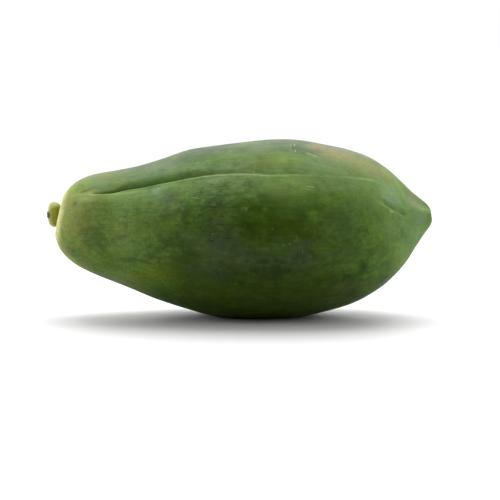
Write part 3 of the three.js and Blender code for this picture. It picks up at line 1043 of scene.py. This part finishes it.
def stalk_tree(size):
    sheet, values = geometry_sheet("Papaya stalk", size)
    stub = ring_skin(
        sheet, values["Geometry"], values["Rows"], values["Columns"], values["Smoothing"]
    )
    along, height, radius, turn = named(sheet, "along", "height", "radius", "turn")
    out = (FRUIT_RINGS[0][0] * MM - along) / values["Length"]
    flute = sheet.fn("COSINE", turn * 2.5)
    radius = radius * (1 - values["Flutes"] * flute * flute)
    plain = place_on_ring(sheet, along, height, radius, turn, values["Lean"] * (1 - out))
    stub = move(sheet, stub, Position=plain)

    place = sheet.add("GeometryNodeInputPosition")
    lumps = sheet.noise(place, 260.0) - 0.5
    wrinkles = sheet.noise(place * (0.35, 1.0, 1.0), 900.0) - 0.5
    visible = sheet.fade(out, 0.3, 0.45)
    # Its upper side stands a little prouder.
    shoulder = sheet.fade(turn, 0.2, 1.1) * sheet.fade(turn, 2.9, 2.0)
    shoulder = shoulder * sheet.fade(out, 0.05, 0.2) * sheet.fade(out, 0.8, 0.55)
    # The cut end has a dark, crumbling scar, which reaches round to the front.
    _, y, z = sheet.split(place)
    across, over = (y + 3.0 * MM) / (4.4 * MM), (z - height - 0.3 * MM) / (2.3 * MM)
    from_middle = sheet.fn("SQRT", across * across + over * over)
    scar = sheet.fade(from_middle + lumps * 0.8, 1.3, 0.7) * sheet.fade(out, 0.74, 0.82)
    crumbs = sheet.noise(place, 2200.0, detail=3.0) - 0.5
    rise = (lumps * 1.3 + wrinkles * 0.35) * values["Lumps"] * visible * (1 - scar)
    rise = rise + crumbs * scar * values["Crumbs"] + shoulder * values["Shoulder"]
    stub = move(sheet, stub, Offset=sheet.add("GeometryNodeInputNormal") * rise)
    stub = name_attributes(sheet, stub, cut=scar, out=out)
    return finish_tree(sheet, stub, values["Material"], spent=("height", "radius", "turn"))


def stalk_material(look):
    material, sheet = material_sheet("papaya_stalk_bark")
    place = sheet.add("ShaderNodeTexCoord", output="Object")
    cut, out = attributes(sheet, "cut", "out")
    clouds = sheet.noise(place, 190.0, detail=3.0)
    fibres = sheet.noise(place * (0.2, 1.0, 1.0), 1300.0)
    color = sheet.mix(sheet.fade(clouds, 0.4, 0.65), tuple(look.bark), tuple(look.bark_light))
    shade = 1 + (fibres - 0.5) * 0.5
    color = sheet.mix(1.0, color, sheet.join(shade, shade, shade), blend="MULTIPLY")
    height = sheet.split(place)[2]
    # Painted shade on its underside, where it enters the hollow and on its top; then the drier skin
    # and the cut's scar.
    for share, over in (
        (sheet.reach(height, 62, 55) * 0.5, look.under),
        (sheet.fade(out, 0.52, 0.36) * 0.5, look.neck_shade),
        (sheet.fade(out + (clouds - 0.5) * 0.3, 0.5, 0.9) * 0.75, look.dry),
        (sheet.reach(height, 61, 66) * 0.55, look.upper),
        (sheet.fade(cut, 0.02, 0.4) * sheet.fade(cut, 0.9, 0.5) * 0.5, look.cut_edge),
        (sheet.fade(cut, 0.35, 0.8), look.cut),
    ):
        color = sheet.mix(share, color, tuple(over))
    relief = {"Height": fibres + clouds * 0.4, "Strength": 0.35, "Distance": 0.3 * MM}
    bump = sheet.add("ShaderNodeBump", relief)
    rough = 0.5 + fibres * 0.15 + cut * 0.3
    sockets = {"Base Color": color, "Roughness": rough, "Normal": bump}
    coat_of_paint(sheet, {**sockets, "Specular IOR Level": 0.2})
    return material


class PAPAYA_OT_stalk(Operator):
    """Makes the stub of the stalk, with its dried cut end"""

    bl_idname = "papaya.stalk"
    bl_label = "Stalk"

    def execute(self, context):
        size = context.scene.papaya_stalk
        floor_along, floor_height = FRUIT_RINGS[0][0] * MM, FRUIT_RINGS[0][1] * MM
        vertices = []
        for out, radius in reversed(STALK_PROFILE):
            out, radius = out * MM, radius * MM
            rise = size.lean * (1 - out / size.length / 2)
            along, height = out * math.cos(rise), out * math.sin(rise)
            vertices.append((floor_along - along, floor_height + height, radius))
        material = stalk_material(size)
        stub = plain_mesh("papaya_stalk", vertices, stalk_tree(size), size, material)
        shift = Vector(bpy.data.objects["papaya_skin"]["shift"])
        for vertex in stub.data.vertices:
            vertex.co += shift
        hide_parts("stalk")
        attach(stub, "root")
        return {"FINISHED"}


# ---- Specks of dried latex -------------------------------------------------------------------


class SpecksSize(PropertyGroup):
    """The small pale specks that stand on the skin."""

    radius: length_property("Radius", "Radius of a middling speck", 0.42)
    height: number_property("Height", "Height as a share of the radius", 0.3)
    smallest: number_property("Smallest", "The smallest speck as a share of the radius", 0.45)
    largest: number_property("Largest", "The largest speck as a share of the radius", 1.25)
    density: number_property("Density", "Specks for each square metre of the far side", 1500.0)
    seed: count_property("Seed", "Chooses their places", 11, 0)
    color: color_property("Colour", "The dried latex", 0.2, 0.26, 0.11)
    color_dark: color_property("Dark colour", "Its darker parts", 0.13, 0.19, 0.06)


def specks_tree(size):
    sheet, values = geometry_sheet("Papaya specks", size, more=(("Fruit", "Object"),))
    skin = sheet.add(
        "GeometryNodeObjectInfo",
        {"Object": values["Fruit"]},
        transform_space="ORIGINAL",
        output="Geometry",
    )
    place = sheet.add("GeometryNodeInputPosition")
    _, y, z = sheet.split(place)
    seed = {"Seed": values["Seed"]}
    far_side = {"Selection": (y > 2 * MM) * (z > 3 * MM), "Density": values["Density"]}
    scattered = sheet.add(
        "GeometryNodeDistributePointsOnFaces",
        {"Mesh": skin, **far_side, **seed},
        distribute_method="RANDOM",
    )
    marked = sheet.add("GeometryNodeMeshToPoints", {"Mesh": values["Geometry"]})
    points = sheet.add("GeometryNodeJoinGeometry", {"Geometry": [marked, scattered]})
    normal = sheet.add(
        "GeometryNodeSampleNearestSurface",
        {"Mesh": skin, "Value": sheet.add("GeometryNodeInputNormal"), "Sample Position": place},
        data_type="FLOAT_VECTOR",
    )
    facing = sheet.add("FunctionNodeAlignRotationToVector", {"Vector": normal}, axis="Z")
    spread = {2: values["Smallest"], 3: values["Largest"], **seed}
    random = sheet.add("FunctionNodeRandomValue", spread, output=1, data_type="FLOAT")
    bead = sheet.add("GeometryNodeMeshUVSphere", {"Segments": 8, "Rings": 5, "Radius": 1.0})
    wide = values["Radius"] * random
    scale = sheet.join(wide, wide * 0.85, wide * values["Height"])
    specks = sheet.add(
        "GeometryNodeInstanceOnPoints",
        {"Points": points, "Instance": bead, "Rotation": facing, "Scale": scale},
    )
    return finish_tree(sheet, specks, values["Material"])


class PAPAYA_OT_specks(Operator):
    """Sets the small pale specks on the skin"""

    bl_idname = "papaya.specks"
    bl_label = "Specks"

    def execute(self, context):
        size = context.scene.papaya_specks
        fruit = bpy.data.objects["papaya_skin"]
        shift = Vector(fruit["shift"])
        material, sheet = material_sheet("papaya_dried_latex")
        cloud = sheet.noise(sheet.add("ShaderNodeTexCoord", output="Object"), 900.0)
        color = sheet.mix(cloud * 0.6, tuple(size.color), tuple(size.color_dark))
        coat_of_paint(sheet, {"Base Color": color, "Roughness": 0.5})
        places = [on_skin(fruit, along, turn, shift) for along, turn in LENTICELS]
        tree = specks_tree(size)
        specks = plain_mesh("papaya_specks", places, tree, size, material, Fruit=fruit)
        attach(specks, "root")
        return {"FINISHED"}


# ---- The studio ------------------------------------------------------------------------------

FLOOR_HALF = 6.2
# Each soft light: its name, size, the setting that holds its power, its place and its aim.
LIGHTS = (
    ("overhead", (1.1, 0.6), "overhead", (0.0, 0.35, 0.9), (0, 0, 0.05)),
    ("side_1", (0.7, 0.7), "sides", (-1.0, -0.05, 0.4), (-0.05, 0, 0.05)),
    ("side_3", (0.7, 0.7), "sides", (1.0, -0.05, 0.4), (0.05, 0, 0.05)),
    ("backdrop", (7.0, 5.6), "backdrop", (0.0, 4.4, 2.4), (0.0, 4.4, 0.0)),
)


class StudioLook(PropertyGroup):
    """The floor, the lights and the camera."""

    floor: color_property("Floor", "The floor's colour", 0.55, 0.55, 0.55)
    sky: number_property("Sky", "Brightness all round and above", 1.0)
    front: number_property("Front", "Brightness of the room on the camera's side", 0.03)
    backdrop: number_property(
        "Backdrop", "Power of the light on the far floor", 260.0, unit="POWER"
    )
    overhead: number_property("Overhead", "Power of the soft light above", 12.0, unit="POWER")
    sides: number_property("Sides", "Power of the soft light on each side", 5.0, unit="POWER")
    distance: length_property("Distance", "From the camera to its aim", 1300)
    elevation: angle_property("Elevation", "How far the camera looks down", 6.5)
    aim: FloatVectorProperty(
        name="Aim", description="Where the camera looks", default=(0.0063, 0, 0.0382), unit="LENGTH"
    )
    lens: number_property("Lens", "Focal length in millimetres", 162.2)


def face(item, place, direction):
    """Puts a light or a camera at a place, looking in a direction, into the scene."""
    item.location = place
    item.rotation_mode = "QUATERNION"
    item.rotation_quaternion = direction.to_track_quat("-Z", "Y")
    bpy.context.scene.collection.objects.link(item)


class PAPAYA_OT_studio(Operator):
    """Makes the pale floor, the soft light and the camera"""

    bl_idname = "papaya.studio"
    bl_label = "Studio"

    def execute(self, context):
        scene = context.scene
        look = scene.papaya_studio
        mesh = bpy.data.meshes.new("studio_floor")
        half = FLOOR_HALF
        corners = [(-half, -half, 0), (half, -half, 0), (half, half, 0), (-half, half, 0)]
        mesh.from_pydata(corners, [], [(0, 1, 2, 3)])
        floor = bpy.data.objects.new("studio_floor", mesh)
        scene.collection.objects.link(floor)
        material, sheet = material_sheet("studio_floor")
        coat_of_paint(sheet, {"Base Color": tuple(look.floor), "Roughness": 0.6})
        mesh.materials.append(material)

        # The room is bright all round, and dark behind the camera.
        world = bpy.data.worlds.new("Studio")
        world.use_nodes = True
        world.node_tree.nodes.clear()
        sheet = Sheet(world.node_tree)
        direction = sheet.add("ShaderNodeTexCoord", output="Generated")
        to_front = tuple(Vector((0, -1, 0.25)).normalized())
        front = sheet.fade(sheet.measure("DOT_PRODUCT", direction, to_front), 0.35, 0.75)
        glow = sheet.choose(front, look.sky, look.front)
        background = sheet.add("ShaderNodeBackground", {"Color": (1, 1, 1, 1), "Strength": glow})
        sheet.add("ShaderNodeOutputWorld", {"Surface": background})
        scene.world = world

        for name, size, power, place, aim in LIGHTS:
            lamp = bpy.data.lights.new(name, "AREA")
            lamp.shape = "RECTANGLE"
            lamp.size, lamp.size_y = size
            lamp.energy = getattr(look, power)
            light = bpy.data.objects.new(name, lamp)
            face(light, place, Vector(aim) - Vector(place))

        camera = bpy.data.objects.new("camera", bpy.data.cameras.new("camera"))
        camera.data.sensor_width = 36.0
        camera.data.lens = look.lens
        camera.data.clip_start, camera.data.clip_end = 0.05, 60.0
        back = Vector((0, -math.cos(look.elevation), math.sin(look.elevation)))
        face(camera, Vector(look.aim) + back * look.distance, -back)
        scene.camera = camera
        scene.view_settings.view_transform = "Standard"
        return {"FINISHED"}


# ---- Panel and registration ------------------------------------------------------------------

PARTS = (
    ("papaya_fruit", FruitSize, PAPAYA_OT_fruit),
    ("papaya_skin", SkinLook, None),
    ("papaya_stalk", StalkSize, PAPAYA_OT_stalk),
    ("papaya_specks", SpecksSize, PAPAYA_OT_specks),
    ("papaya_studio", StudioLook, PAPAYA_OT_studio),
)


class PAPAYA_PT_panel(Panel):
    """Lists the papaya's sizes and colours, and the buttons that make its pieces"""

    bl_idname = "PAPAYA_PT_panel"
    bl_label = "Papaya"
    bl_space_type = "VIEW_3D"
    bl_region_type = "UI"
    bl_category = "Papaya"

    def draw(self, context):
        for name, group, operator in PARTS:
            box = self.layout.box()
            settings = getattr(context.scene, name)
            for field in group.__annotations__:
                box.prop(settings, field)
            if operator:
                box.operator(operator.bl_idname)


CLASSES = [cls for part in PARTS for cls in part[1:] if cls] + [PAPAYA_PT_panel]


def register():
    for cls in CLASSES:
        bpy.utils.register_class(cls)
    for name, group, _ in PARTS:
        setattr(bpy.types.Scene, name, PointerProperty(type=group))


def unregister():
    for name, _, _ in PARTS:
        delattr(bpy.types.Scene, name)
    for cls in reversed(CLASSES):
        bpy.utils.unregister_class(cls)


def main():
    register()
    bpy.ops.papaya.fruit()
    bpy.ops.papaya.stalk()
    bpy.ops.papaya.specks()
    bpy.ops.papaya.studio()


if __name__ == "__main__":
    main()
